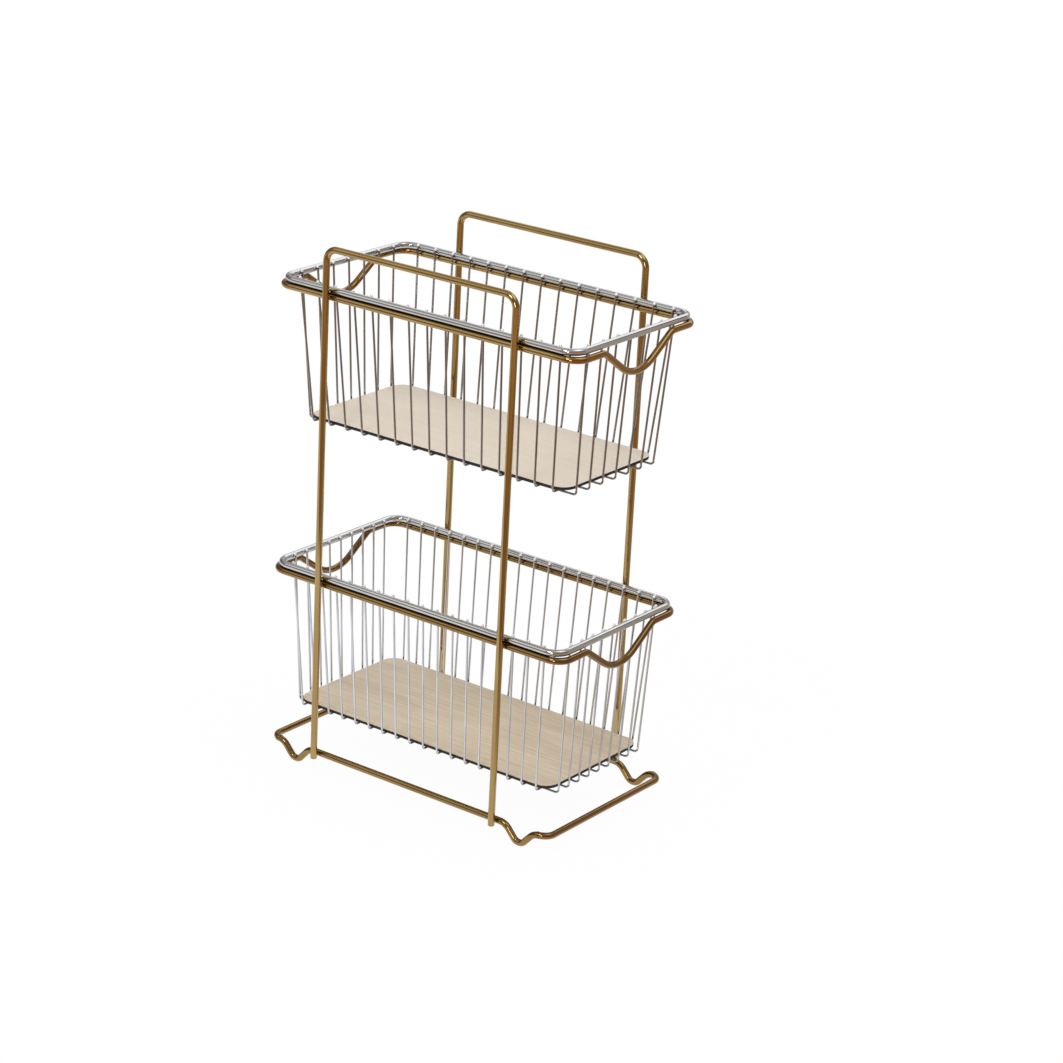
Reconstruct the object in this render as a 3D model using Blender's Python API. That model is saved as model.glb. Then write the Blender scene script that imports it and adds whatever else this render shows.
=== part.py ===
"""Two-tier vegetable rack: a welded wire frame, two lift-out wire baskets and two loose boards.

Metres, +Z up. X runs along the rack, Y across it, and the origin is on the floor, in the
middle of the four feet. Every wire is a round bar bent to a path of straights and arcs.
"""

import math
from collections import namedtuple

import bpy
from mathutils import Vector

# Stock: bar and wire diameters, the board's sheet, and the clearance between touching pieces
FRAME_WIRE = 0.0070
RIM_WIRE = 0.0070
BASKET_WIRE = 0.0022
BOARD_THICKNESS = 0.0030
FIT_GAP = 0.0003

# The two upright hoops, between the centre lines of their bars
HOOP_SPAN = 0.2340
HOOP_SPACING = 0.2100
HOOP_RISE = 0.5415
HOOP_CORNER = 0.0130
UPRIGHT_TAIL = 0.0045

# The base ring, which reaches out past the hoops' legs and dips into a foot beside each leg
BASE_OVERHANG = 0.0636
BASE_CORNER = 0.0120
FOOT_DROP = 0.0155
FOOT_OFFSET = 0.0300
FOOT_TOP_WIDTH = 0.0360
FOOT_SOLE_WIDTH = 0.0080
FOOT_BEND = 0.0080

# The two rings that carry the baskets, with a finger dip in each end
RING_LENGTH = 0.3720
RING_CORNER = 0.0160
DIP_DROP = 0.0285
DIP_TOP_WIDTH = 0.1110
DIP_BOTTOM_WIDTH = 0.0280
DIP_TOP_BEND = 0.0120
DIP_BOTTOM_BEND = 0.0360
GRIP_HEIGHT = 0.0510

# The basket rims, which rest on the rings a little inside them
RIM_END_INSET = 0.0040
RIM_SIDE_INSET = 0.0011
RIM_CORNER = 0.0160

# The tips of the basket wires, which lean out over the rim that they are welded to
TIP_LEAN = math.radians(32)
TIP_LENGTH = 0.0008

# The baskets: depth from rim to floor, and how far their ends and sides lean in on the way down
UPPER_BASKET_DEPTH = 0.1481
UPPER_END_TAPER = 0.0136
UPPER_SIDE_TAPER = 0.0176
UPPER_END_BEND = 0.0036
UPPER_CROSS_COUNT = 15
UPPER_LONG_COUNT = 7
LOWER_BASKET_DEPTH = 0.1570
LOWER_END_TAPER = 0.0120
LOWER_SIDE_TAPER = 0.0141
LOWER_END_BEND = 0.0044
LOWER_CROSS_COUNT = 18
LOWER_LONG_COUNT = 9
LOWER_FLOOR_RISE = 0.0377
SIDE_BEND = 0.0040

# How far the outermost wires stand in from the ends and sides of the rim and of the floor
CROSS_RIM_MARGIN = 0.0205
CROSS_FLOOR_MARGIN = 0.0170
LONG_RIM_MARGIN = 0.0250
LONG_FLOOR_MARGIN = 0.0150

# The loose boards that lie on the floors
BOARD_END_MARGIN = 0.0052
BOARD_CORNER = 0.0160

# Facets of the wires and steps of their bends
FRAME_SIDES = 8
BASKET_SIDES = 6
RING_CORNER_STEPS = 5
DIP_STEPS = 3
FOOT_STEPS = 3
TIP_STEPS = 2
FLOOR_BEND_STEPS = 3
BOARD_CORNER_STEPS = 6

# Colour, roughness and metallic value of each finish
GOLD = ((0.34, 0.20, 0.06, 1.0), 0.32, 1.0)
CHROME = ((0.62, 0.63, 0.64, 1.0), 0.18, 1.0)
BRIGHT_WIRE = ((0.50, 0.49, 0.48, 1.0), 0.30, 1.0)
DARK_WIRE = ((0.30, 0.27, 0.25, 1.0), 0.30, 1.0)
PALE_BIRCH = ((0.76, 0.68, 0.56, 1.0), 0.62, 0.0)
WARM_BIRCH = ((0.62, 0.53, 0.40, 1.0), 0.62, 0.0)

Bend = namedtuple("Bend", "place radius steps")
Tier = namedtuple(
    "Tier",
    "name ring_rise depth floor_length floor_width end_bend cross_count long_count wire_finish board_finish",
)

# Places that follow from the sizes above
BASE_HEIGHT = FOOT_DROP + FRAME_WIRE / 2
BASE_LENGTH = HOOP_SPAN + 2 * BASE_OVERHANG
FOOT_PLACE = HOOP_SPAN / 2 + FOOT_OFFSET
RING_WIDTH = HOOP_SPACING - 2 * (FRAME_WIRE + FIT_GAP)
RIM_LENGTH = RING_LENGTH - 2 * RIM_END_INSET
RIM_WIDTH = RING_WIDTH - 2 * RIM_SIDE_INSET
RIM_SEAT = (FRAME_WIRE + RIM_WIRE) / 2 + FIT_GAP
RIM_LIFT = math.sqrt(RIM_SEAT ** 2 - RIM_SIDE_INSET ** 2)
WIRE_REACH = (RIM_WIRE + BASKET_WIRE) / 2 + FIT_GAP
LAYER_DROP = BASKET_WIRE + FIT_GAP

UPPER = Tier(
    name="upper",
    ring_rise=HOOP_RISE - GRIP_HEIGHT,
    depth=UPPER_BASKET_DEPTH,
    floor_length=RIM_LENGTH - 2 * UPPER_END_TAPER,
    floor_width=RIM_WIDTH - 2 * UPPER_SIDE_TAPER,
    end_bend=UPPER_END_BEND,
    cross_count=UPPER_CROSS_COUNT,
    long_count=UPPER_LONG_COUNT,
    wire_finish=DARK_WIRE,
    board_finish=PALE_BIRCH,
)
LOWER = Tier(
    name="lower",
    ring_rise=LOWER_FLOOR_RISE + LOWER_BASKET_DEPTH - RIM_LIFT,
    depth=LOWER_BASKET_DEPTH,
    floor_length=RIM_LENGTH - 2 * LOWER_END_TAPER,
    floor_width=RIM_WIDTH - 2 * LOWER_SIDE_TAPER,
    end_bend=LOWER_END_BEND,
    cross_count=LOWER_CROSS_COUNT,
    long_count=LOWER_LONG_COUNT,
    wire_finish=BRIGHT_WIRE,
    board_finish=WARM_BIRCH,
)


def clear_scene():
    for old in list(bpy.data.objects):
        bpy.data.objects.remove(old, do_unlink=True)


def finish_material(name, finish):
    """A Principled material of one colour, roughness and metallic value."""
    colour, roughness, metallic = finish
    material = bpy.data.materials.new(name)
    material.use_nodes = True
    shader = material.node_tree.nodes["Principled BSDF"]
    shader.inputs["Base Color"].default_value = colour
    shader.inputs["Roughness"].default_value = roughness
    shader.inputs["Metallic"].default_value = metallic
    material.diffuse_color = colour
    return material


def place(obj, collection, finish, height, parent):
    """Gives an object its material, its height and the empty that it moves with."""
    collection.objects.link(obj)
    obj.data.materials.append(finish_material(obj.name, finish))
    obj.location.z = height
    obj.parent = parent


def lift_axis(name, collection, height, parent):
    """An empty on a vertical slide, which everything that lifts with it hangs from."""
    empty = bpy.data.objects.new(name, None)
    collection.objects.link(empty)
    empty.location.z = height
    empty.parent = parent
    return empty


def arc_points(corner, before, after, radius, steps):
    """The points of the arc that rounds one corner between two straight runs."""
    to_before = (before - corner).normalized()
    to_after = (after - corner).normalized()
    turn = math.pi - to_before.angle(to_after)
    centre = corner + (to_before + to_after).normalized() * radius / math.cos(turn / 2)
    start = corner + to_before * radius * math.tan(turn / 2) - centre
    end = corner + to_after * radius * math.tan(turn / 2) - centre
    points = []
    for step in range(steps + 1):
        angle = turn * step / steps
        points.append(centre + (start * math.sin(turn - angle) + end * math.sin(angle)) / math.sin(turn))
    return points


def bent_path(bends, closed):
    """A path through the bends' corners, with each corner rounded by its own radius."""
    path = []
    for index, bend in enumerate(bends):
        loose_end = not closed and index in (0, len(bends) - 1)
        if loose_end:
            path.append(bend.place)
            continue
        before = bends[index - 1].place
        after = bends[(index + 1) % len(bends)].place
        path += arc_points(bend.place, before, after, bend.radius, bend.steps)
    return path


def polyline(curve, path, closed):
    spline = curve.splines.new("POLY")
    spline.points.add(len(path) - 1)
    for point, position in zip(spline.points, path):
        point.co = (position.x, position.y, position.z, 1)
    spline.use_cyclic_u = closed
    spline.use_smooth = True


def wire(name, bends, closed, diameter, sides):
    """A round wire bent along a path: a loop, or a length with flat cut ends."""
    curve = bpy.data.curves.new(name, "CURVE")
    curve.dimensions = "3D"
    curve.bevel_depth = diameter / 2
    curve.bevel_resolution = sides // 2 - 2
    curve.use_fill_caps = not closed
    polyline(curve, bent_path(bends, closed), closed)
    return bpy.data.objects.new(name, curve)


def half_turn(bends):
    """The same run of bends on the opposite side, so that a loop goes on the same way round."""
    return [Bend(Vector((-b.place.x, -b.place.y, b.place.z)), b.radius, b.steps) for b in bends]


def corner_bend(length, width, radius, x_sign, y_sign):
    """One corner of a flat rectangular loop."""
    return Bend(Vector((x_sign * length / 2, y_sign * width / 2, 0)), radius, RING_CORNER_STEPS)


def foot_bends(centre, y):
    """A foot of the base ring: the wire dips to a sole and comes up again, along +X."""
    top = FOOT_TOP_WIDTH / 2
    sole = FOOT_SOLE_WIDTH / 2
    outline = ((-top, 0), (-sole, -FOOT_DROP), (sole, -FOOT_DROP), (top, 0))
    return [Bend(Vector((centre + x, y, z)), FOOT_BEND, FOOT_STEPS) for x, z in outline]


def base_ring():
    """The floor loop, whose long sides dip into a foot near each corner."""
    front = -RING_WIDTH / 2
    front_side = foot_bends(-FOOT_PLACE, front) + foot_bends(FOOT_PLACE, front)
    right_end = [corner_bend(BASE_LENGTH, RING_WIDTH, BASE_CORNER, 1, y_sign) for y_sign in (-1, 1)]
    half = front_side + right_end
    return wire("base_ring", half + half_turn(half), True, FRAME_WIRE, FRAME_SIDES)


def hoop(name, y):
    """An upright hoop: two legs and the bar over the top, in one bent length."""
    leg = HOOP_SPAN / 2
    bends = [
        Bend(Vector((-leg, y, -UPRIGHT_TAIL)), 0, 0),
        Bend(Vector((-leg, y, HOOP_RISE)), HOOP_CORNER, RING_CORNER_STEPS),
        Bend(Vector((leg, y, HOOP_RISE)), HOOP_CORNER, RING_CORNER_STEPS),
        Bend(Vector((leg, y, -UPRIGHT_TAIL)), 0, 0),
    ]
    return wire(name, bends, False, FRAME_WIRE, FRAME_SIDES)


def dip_bends(x):
    """The finger dip in the end of a ring, along +Y."""
    top = DIP_TOP_WIDTH / 2
    bottom = DIP_BOTTOM_WIDTH / 2
    outline = (
        (-top, 0, DIP_TOP_BEND),
        (-bottom, -DIP_DROP, DIP_BOTTOM_BEND),
        (bottom, -DIP_DROP, DIP_BOTTOM_BEND),
        (top, 0, DIP_TOP_BEND),
    )
    return [Bend(Vector((x, y, z)), radius, DIP_STEPS) for y, z, radius in outline]


def basket_ring(name):
    """The frame's loop that a basket hangs in."""
    right_end = [corner_bend(RING_LENGTH, RING_WIDTH, RING_CORNER, 1, -1)]
    right_end += dip_bends(RING_LENGTH / 2)
    right_end.append(corner_bend(RING_LENGTH, RING_WIDTH, RING_CORNER, 1, 1))
    left_end = half_turn(right_end)
    return wire(name, right_end + left_end, True, FRAME_WIRE, FRAME_SIDES)


def basket_rim(name):
    """The basket's rim, a flat loop of heavy wire."""
    bends = [
        corner_bend(RIM_LENGTH, RIM_WIDTH, RIM_CORNER, x_sign, y_sign)
        for x_sign, y_sign in ((1, -1), (1, 1), (-1, 1), (-1, -1))
    ]
    return wire(name, bends, True, RIM_WIRE, FRAME_SIDES)


def wall_profile(rim_half, floor_half, floor_depth):
    """Half of a basket wire, from its tip over the rim down to the corner of the floor.

    Each point is (distance from the middle, height over the rim's centre line). The tip and
    the wall both lie against a circle round the rim, at the angles TIP_LEAN and wall_slope.
    """
    wall_slope = math.atan2(rim_half - WIRE_REACH - floor_half, floor_depth)
    bend_angle = (TIP_LEAN + wall_slope) / 2
    bend_reach = WIRE_REACH / math.cos((TIP_LEAN - wall_slope) / 2)
    tip_in = WIRE_REACH * math.cos(TIP_LEAN) - TIP_LENGTH * math.sin(TIP_LEAN)
    tip_up = WIRE_REACH * math.sin(TIP_LEAN) + TIP_LENGTH * math.cos(TIP_LEAN)
    tip = (rim_half - tip_in, tip_up)
    lean = (rim_half - bend_reach * math.cos(bend_angle), bend_reach * math.sin(bend_angle))
    floor = (floor_half, -floor_depth)
    return tip, lean, floor


def wall_bends(profile, floor_bend):
    """The bends of one wall, with the radius and steps of each."""
    tip, lean, floor = profile
    return ((tip, 0, 0), (lean, WIRE_REACH, TIP_STEPS), (floor, floor_bend, FLOOR_BEND_STEPS))


def cross_wire(tier, name, share):
    """A U across the basket: down the front wall, over the floor and up the back wall."""
    profile = wall_profile(RIM_WIDTH / 2, tier.floor_width / 2, tier.depth)
    rim_x = share * (RIM_LENGTH / 2 - CROSS_RIM_MARGIN)
    floor_x = share * (tier.floor_length / 2 - CROSS_FLOOR_MARGIN)
    front = []
    for (out, up), radius, steps in wall_bends(profile, SIDE_BEND):
        x = floor_x if up < 0 else rim_x
        front.append(Bend(Vector((x, -out, up)), radius, steps))
    back = [Bend(Vector((b.place.x, -b.place.y, b.place.z)), b.radius, b.steps) for b in reversed(front)]
    return wire(name, front + back, False, BASKET_WIRE, BASKET_SIDES)


def long_wire(tier, name, share):
    """A U along the basket, one layer under the cross wires."""
    profile = wall_profile(RIM_LENGTH / 2, tier.floor_length / 2, tier.depth + LAYER_DROP)
    rim_y = share * (RIM_WIDTH / 2 - LONG_RIM_MARGIN)
    floor_y = share * (tier.floor_width / 2 - LONG_FLOOR_MARGIN)
    left = []
    for (out, up), radius, steps in wall_bends(profile, tier.end_bend):
        y = floor_y if up < 0 else rim_y
        left.append(Bend(Vector((-out, y, up)), radius, steps))
    right = [Bend(Vector((-b.place.x, b.place.y, b.place.z)), b.radius, b.steps) for b in reversed(left)]
    return wire(name, left + right, False, BASKET_WIRE, BASKET_SIDES)


def spread_shares(count):
    """Even places from -1 to 1."""
    return [2 * index / (count - 1) - 1 for index in range(count)]


def board(tier):
    """A thin sheet with round corners, which fits between the bends of the floor wires."""
    length = tier.floor_length - 2 * BOARD_END_MARGIN
    width = tier.floor_width - 2 * SIDE_BEND
    corners = [
        Bend(Vector((x_sign * length / 2, y_sign * width / 2, 0)), BOARD_CORNER, BOARD_CORNER_STEPS)
        for x_sign, y_sign in ((1, -1), (1, 1), (-1, 1), (-1, -1))
    ]
    outline = bpy.data.curves.new(tier.name + "_board", "CURVE")
    outline.dimensions = "2D"
    outline.fill_mode = "BOTH"
    outline.extrude = BOARD_THICKNESS / 2
    polyline(outline, bent_path(corners, True), True)
    return bpy.data.objects.new(tier.name + "_board", outline)


def build_frame(collection):
    """The welded frame, which stands still."""
    hoop_y = HOOP_SPACING / 2
    place(base_ring(), collection, GOLD, BASE_HEIGHT, None)
    place(hoop("front_hoop", -hoop_y), collection, GOLD, BASE_HEIGHT, None)
    place(hoop("rear_hoop", hoop_y), collection, GOLD, BASE_HEIGHT, None)
    for tier in (UPPER, LOWER):
        place(basket_ring(tier.name + "_ring"), collection, GOLD, BASE_HEIGHT + tier.ring_rise, None)


def build_basket(tier, collection):
    """A basket that lifts out of its ring, and the board that lifts out of the basket."""
    rim_height = BASE_HEIGHT + tier.ring_rise + RIM_LIFT
    lift = lift_axis(tier.name + "_basket_lift", collection, rim_height, None)
    place(basket_rim(tier.name + "_rim"), collection, CHROME, 0, lift)
    for index, share in enumerate(spread_shares(tier.cross_count), 1):
        name = f"{tier.name}_cross_wire_{index:02d}"
        place(cross_wire(tier, name, share), collection, tier.wire_finish, 0, lift)
    for index, share in enumerate(spread_shares(tier.long_count), 1):
        name = f"{tier.name}_long_wire_{index:02d}"
        place(long_wire(tier, name, share), collection, tier.wire_finish, 0, lift)
    floor_top = -tier.depth + BASKET_WIRE / 2
    board_lift = lift_axis(tier.name + "_board_lift", collection, floor_top + FIT_GAP, lift)
    place(board(tier), collection, tier.board_finish, BOARD_THICKNESS / 2, board_lift)


def main():
    clear_scene()
    collection = bpy.data.collections.new("two_tier_vegetable_rack")
    bpy.context.scene.collection.children.link(collection)
    build_frame(collection)
    for tier in (UPPER, LOWER):
        build_basket(tier, collection)


main()
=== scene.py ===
"""A two-tier vegetable rack of welded wire, dressed for its picture.

The CAD frame gives the heights and the outer sizes. Each wire is drawn again over its CAD bar,
run by run and bend by bend, and then the welds, the boards and the studio are added.
"""

import math
from collections import namedtuple

import bpy
from bpy.props import FloatProperty, FloatVectorProperty, IntProperty, PointerProperty
from mathutils import Euler, Matrix, Vector


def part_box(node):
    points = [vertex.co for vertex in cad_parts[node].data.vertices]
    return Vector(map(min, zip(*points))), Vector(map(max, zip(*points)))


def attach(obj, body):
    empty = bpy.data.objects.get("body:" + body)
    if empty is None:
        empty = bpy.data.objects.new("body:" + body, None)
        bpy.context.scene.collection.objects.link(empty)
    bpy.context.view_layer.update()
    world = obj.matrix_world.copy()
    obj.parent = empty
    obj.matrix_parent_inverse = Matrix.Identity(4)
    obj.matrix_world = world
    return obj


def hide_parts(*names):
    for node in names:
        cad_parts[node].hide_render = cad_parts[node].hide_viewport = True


bl_info = {
    "name": "Two-tier vegetable rack",
    "version": (1, 0, 0),
    "blender": (4, 5, 0),
    "location": "3D View > Sidebar > Rack",
    "description": "Draws a rack's bars, welds and boards around its CAD frame, and its studio",
    "category": "Add Mesh",
}

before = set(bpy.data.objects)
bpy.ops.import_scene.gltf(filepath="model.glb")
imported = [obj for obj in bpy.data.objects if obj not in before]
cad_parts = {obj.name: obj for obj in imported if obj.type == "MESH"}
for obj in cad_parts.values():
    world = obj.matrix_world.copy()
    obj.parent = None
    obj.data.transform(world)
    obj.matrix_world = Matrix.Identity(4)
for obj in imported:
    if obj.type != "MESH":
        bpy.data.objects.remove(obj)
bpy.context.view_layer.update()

TIERS = ("upper", "lower")
CORNER_SIGNS = ((1, -1), (1, 1), (-1, 1), (-1, -1))

# The axis that a thin wire follows under the board, and the axis across it
RUNS = {"cross": (1, 0), "long": (0, 1)}

# The way to the camera over the floor, which is where the white floor ends
FRONT = (0.592, -0.806, 0.0)

# Air that the CAD leaves between a thin wire and the rim it is welded to
CLEARANCE = 0.0003

# A corner of a wire's centre line, and the radius that it is bent to
Bend = namedtuple("Bend", "place radius")


# Sizes and colours that a user can change


class RackBars(bpy.types.PropertyGroup):
    """The frame's and the rims' thick bars."""

    gauge: FloatProperty(
        name="Bar", description="Diameter of the frame's and rims' bars", default=0.007, unit="LENGTH"
    )
    hoop_corner: FloatProperty(
        name="Hoop corner", description="Bend at the top of a hoop", default=0.013, unit="LENGTH"
    )
    base_corner: FloatProperty(
        name="Base corner", description="Bend at the base's corners", default=0.012, unit="LENGTH"
    )
    ring_corner: FloatProperty(
        name="Ring corner", description="Bend at a ring's and a rim's corners", default=0.016,
        unit="LENGTH",
    )
    foot_offset: FloatProperty(
        name="Foot offset", description="From a leg to the foot beside it", default=0.030, unit="LENGTH"
    )
    foot_top: FloatProperty(
        name="Foot width", description="Width of a foot at its top", default=0.036, unit="LENGTH"
    )
    foot_sole: FloatProperty(
        name="Foot sole", description="Width of a foot at the floor", default=0.008, unit="LENGTH"
    )
    foot_bend: FloatProperty(
        name="Foot bend", description="Bends of a foot at the floor", default=0.008, unit="LENGTH"
    )
    foot_shoulder: FloatProperty(
        name="Foot shoulder", description="Bends at the top of a foot", default=0.0155, unit="LENGTH"
    )
    dip_top: FloatProperty(
        name="Dip width", description="Width of a finger dip at its top", default=0.111, unit="LENGTH"
    )
    dip_bottom: FloatProperty(
        name="Dip floor", description="Width of a finger dip at its bottom", default=0.028, unit="LENGTH"
    )
    dip_top_bend: FloatProperty(
        name="Dip shoulder", description="Bends at the top of a dip", default=0.012, unit="LENGTH"
    )
    dip_bottom_bend: FloatProperty(
        name="Dip bend", description="Bends at the bottom of a dip", default=0.0445, unit="LENGTH"
    )
    sides: IntProperty(name="Bar facets", description="Facets round a bar", default=28, min=12)
    # Gap within which the faces of two bars take the painted crevice shade
    seam: FloatProperty(
        name="Seam", description="Gap up to which two bars shade each other", default=0.0019,
        unit="LENGTH",
    )
    settle: FloatProperty(
        name="Settle", description="How far a rim sinks on to its ring from its CAD place",
        default=0.00027, unit="LENGTH",
    )
    weld: FloatProperty(
        name="Frame weld", description="Length of a weld between two bars", default=0.0070, unit="LENGTH"
    )


class RackBaskets(bpy.types.PropertyGroup):
    """The baskets' thin wires. A pair of values is for the upper and the lower basket."""

    gauge: FloatProperty(
        name="Wire", description="Diameter of the thin wires", default=0.0022, unit="LENGTH"
    )
    end_taper: FloatVectorProperty(
        name="End taper", description="How far an end wall leans in", size=2,
        default=(0.0136, 0.0120), unit="LENGTH",
    )
    side_taper: FloatVectorProperty(
        name="Side taper", description="How far a side wall leans in", size=2,
        default=(0.0176, 0.0141), unit="LENGTH",
    )
    end_bend: FloatVectorProperty(
        name="End bend", description="Bends under the end walls", size=2,
        default=(0.0036, 0.0044), unit="LENGTH",
    )
    side_bend: FloatVectorProperty(
        name="Side bend", description="Bends under the side walls", size=2,
        default=(0.0040, 0.0040), unit="LENGTH",
    )
    tip_lean: FloatProperty(
        name="Tip lean", description="Lean of a wire's tip over the rim", default=math.radians(32),
        subtype="ANGLE",
    )
    tip_length: FloatProperty(
        name="Tip", description="Straight end of a thin wire", default=0.0008, unit="LENGTH"
    )
    sides: IntProperty(name="Wire facets", description="Facets round a thin wire", default=14, min=8)
    weld: FloatProperty(
        name="Wire weld", description="Length of a weld on a thin wire", default=0.0034, unit="LENGTH"
    )
    tip_bead: FloatProperty(
        name="Tip bead", description="Bead of weld round a wire's tip", default=0.0030, unit="LENGTH"
    )


class RackBoards(bpy.types.PropertyGroup):
    """The loose birch boards."""

    corner: FloatProperty(
        name="Board corner", description="Radius of a board's corners", default=0.016, unit="LENGTH"
    )
    edge: FloatProperty(
        name="Board edge", description="Round along a board's edges", default=0.0002, unit="LENGTH"
    )


class RackFinishes(bpy.types.PropertyGroup):
    """Colours of the plating and of the wood."""

    gold: FloatVectorProperty(
        name="Gold", description="Plating of the frame", default=(0.45, 0.31, 0.125), subtype="COLOR"
    )
    # Painted shade: the darker, browner colour that the frame takes at the rack's ends
    end_shade: FloatVectorProperty(
        name="End shade", description="Plating at the ends of the frame", default=(0.36, 0.205, 0.075),
        subtype="COLOR",
    )
    # A darker copy of the gold for the lower ring and the base: painted shade
    shaded_low_gold: FloatVectorProperty(
        name="Shaded low gold", description="Plating of the lower ring and the base",
        default=(0.33, 0.213, 0.078), subtype="COLOR",
    )
    # The same darker copy at the ends of the lower ring and the base: painted shade
    low_end_shade: FloatVectorProperty(
        name="Low end shade", description="Plating at the ends of the lower ring and the base",
        default=(0.265, 0.150, 0.060), subtype="COLOR",
    )
    chrome: FloatVectorProperty(
        name="Chrome", description="Plating of the rims", default=(0.62, 0.625, 0.63), subtype="COLOR"
    )
    # A darker copy of the chrome for the upper basket's wires: painted shade
    upper_wire: FloatVectorProperty(
        name="Upper wires", description="Thin wires of the upper basket", default=(0.35, 0.355, 0.38),
        subtype="COLOR",
    )
    # A paler copy of the same chrome for the lower basket's wires: painted light
    lower_wire: FloatVectorProperty(
        name="Lower wires", description="Thin wires of the lower basket", default=(0.67, 0.70, 0.75),
        subtype="COLOR",
    )
    # Painted shade on the thin wires under a board
    under_board_shade: FloatVectorProperty(
        name="Wires under a board", description="Thin wires where they run under a board",
        default=(0.29, 0.28, 0.28), subtype="COLOR",
    )
    upper_birch: FloatVectorProperty(
        name="Upper board", description="Face of the upper board", default=(0.745, 0.663, 0.557),
        subtype="COLOR",
    )
    lower_birch: FloatVectorProperty(
        name="Lower board", description="Face of the lower board", default=(0.695, 0.592, 0.458),
        subtype="COLOR",
    )
    birch_edge: FloatVectorProperty(
        name="Board edge", description="Edge of the boards, darkened by the cut",
        default=(0.008, 0.006, 0.005), subtype="COLOR",
    )


class RackStudio(bpy.types.PropertyGroup):
    """Camera, lamps and floor."""

    azimuth: FloatProperty(
        name="Azimuth", description="Turn of the camera round the rack", default=math.radians(36.294),
        subtype="ANGLE",
    )
    pitch: FloatProperty(
        name="Pitch", description="How far the camera looks down", default=math.radians(20.057),
        subtype="ANGLE",
    )
    roll: FloatProperty(
        name="Roll", description="Tilt of the camera", default=math.radians(2.966), subtype="ANGLE"
    )
    place: FloatVectorProperty(
        name="Camera", description="Where the camera stands", default=(1.7535, -2.2910, 1.3247),
        subtype="TRANSLATION", unit="LENGTH",
    )
    lens: FloatProperty(
        name="Lens", description="Focal length in millimetres", default=102.6, unit="CAMERA"
    )
    sensor: FloatProperty(
        name="Sensor", description="Width of the camera's sensor in millimetres", default=36.0,
        unit="CAMERA",
    )
    left_power: FloatProperty(
        name="Left softbox", description="Power of the softbox in front on the left", default=3.2,
        unit="POWER",
    )
    back_power: FloatProperty(
        name="Back softbox", description="Power of the wide softbox behind", default=3.6, unit="POWER"
    )
    top_power: FloatProperty(
        name="Top softbox", description="Power of the softbox overhead", default=5.0, unit="POWER"
    )
    high_glint_power: FloatProperty(
        name="High glint lamp", description="Power of the small lamp for glints on top of the bends",
        default=5.5, unit="POWER",
    )
    low_glint_power: FloatProperty(
        name="Low glint lamp", description="Power of the small lamp for glints on the feet", default=4.8,
        unit="POWER",
    )
    glow: FloatProperty(
        name="Glow", description="Even light from all round the rack", default=0.85
    )
    floor_radius: FloatProperty(
        name="Floor", description="Radius of the white floor", default=14.0, unit="LENGTH"
    )


PROPERTY_GROUPS = {
    "rack_bars": RackBars,
    "rack_baskets": RackBaskets,
    "rack_boards": RackBoards,
    "rack_finishes": RackFinishes,
    "rack_studio": RackStudio,
}


# Drawing wire

# The most that one step of a bend turns the wire, and the fewest steps of a bend
BEND_STEP = math.radians(8)
LEAST_BEND_STEPS = 3

# Edges sharper than this are a wire's cut ends
CUT_ANGLE = math.radians(70)

# A wire looks smooth over edges up to this angle
SMOOTH_ANGLE = math.radians(50)

# The round on a wire's cut end and the distance at which its points merge, as shares of its gauge
CUT_ROUND = 1 / 7
CUT_ROUND_STEPS = 3
MERGE_DISTANCE = 1 / 100


def deselect_all():
    """Leaves edit mode and selects nothing."""
    if bpy.context.object and bpy.context.object.mode != "OBJECT":
        bpy.ops.object.mode_set(mode="OBJECT")
    bpy.ops.object.select_all(action="DESELECT")


def bake_place(obj):
    """Puts an object's place, turn and scale into its mesh."""
    deselect_all()
    obj.select_set(True)
    bpy.context.view_layer.objects.active = obj
    bpy.ops.object.transform_apply(location=True, rotation=True, scale=True)


def run_out(here, there):
    """Draws the wire's open end straight on to another point."""
    bpy.ops.mesh.extrude_region_move(TRANSFORM_OT_translate={"value": there - here})


def bend_out(here, before, bend, after):
    """Draws the open end up to a bend and spins it round. Returns where it then is."""
    come = (bend.place - before).normalized()
    go = (after - bend.place).normalized()
    turn = come.angle(go)
    axis = come.cross(go).normalized()
    start = bend.place - come * bend.radius * math.tan(turn / 2)
    centre = start + axis.cross(come) * bend.radius
    run_out(here, start)
    steps = max(LEAST_BEND_STEPS, math.ceil(turn / BEND_STEP))
    bpy.ops.mesh.spin(steps=steps, angle=-turn, center=centre, axis=axis)
    return centre + Matrix.Rotation(turn, 3, axis) @ (start - centre)


def close_ends(rounding):
    """Closes both cut ends of a wire and takes off their sharp edge."""
    bpy.ops.mesh.select_all(action="DESELECT")
    bpy.ops.mesh.select_non_manifold()
    bpy.ops.mesh.fill_holes(sides=0)
    bpy.ops.mesh.select_all(action="DESELECT")
    bpy.ops.mesh.edges_select_sharp(sharpness=CUT_ANGLE)
    bpy.ops.mesh.bevel(offset=rounding, segments=CUT_ROUND_STEPS, affect="EDGES")


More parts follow.
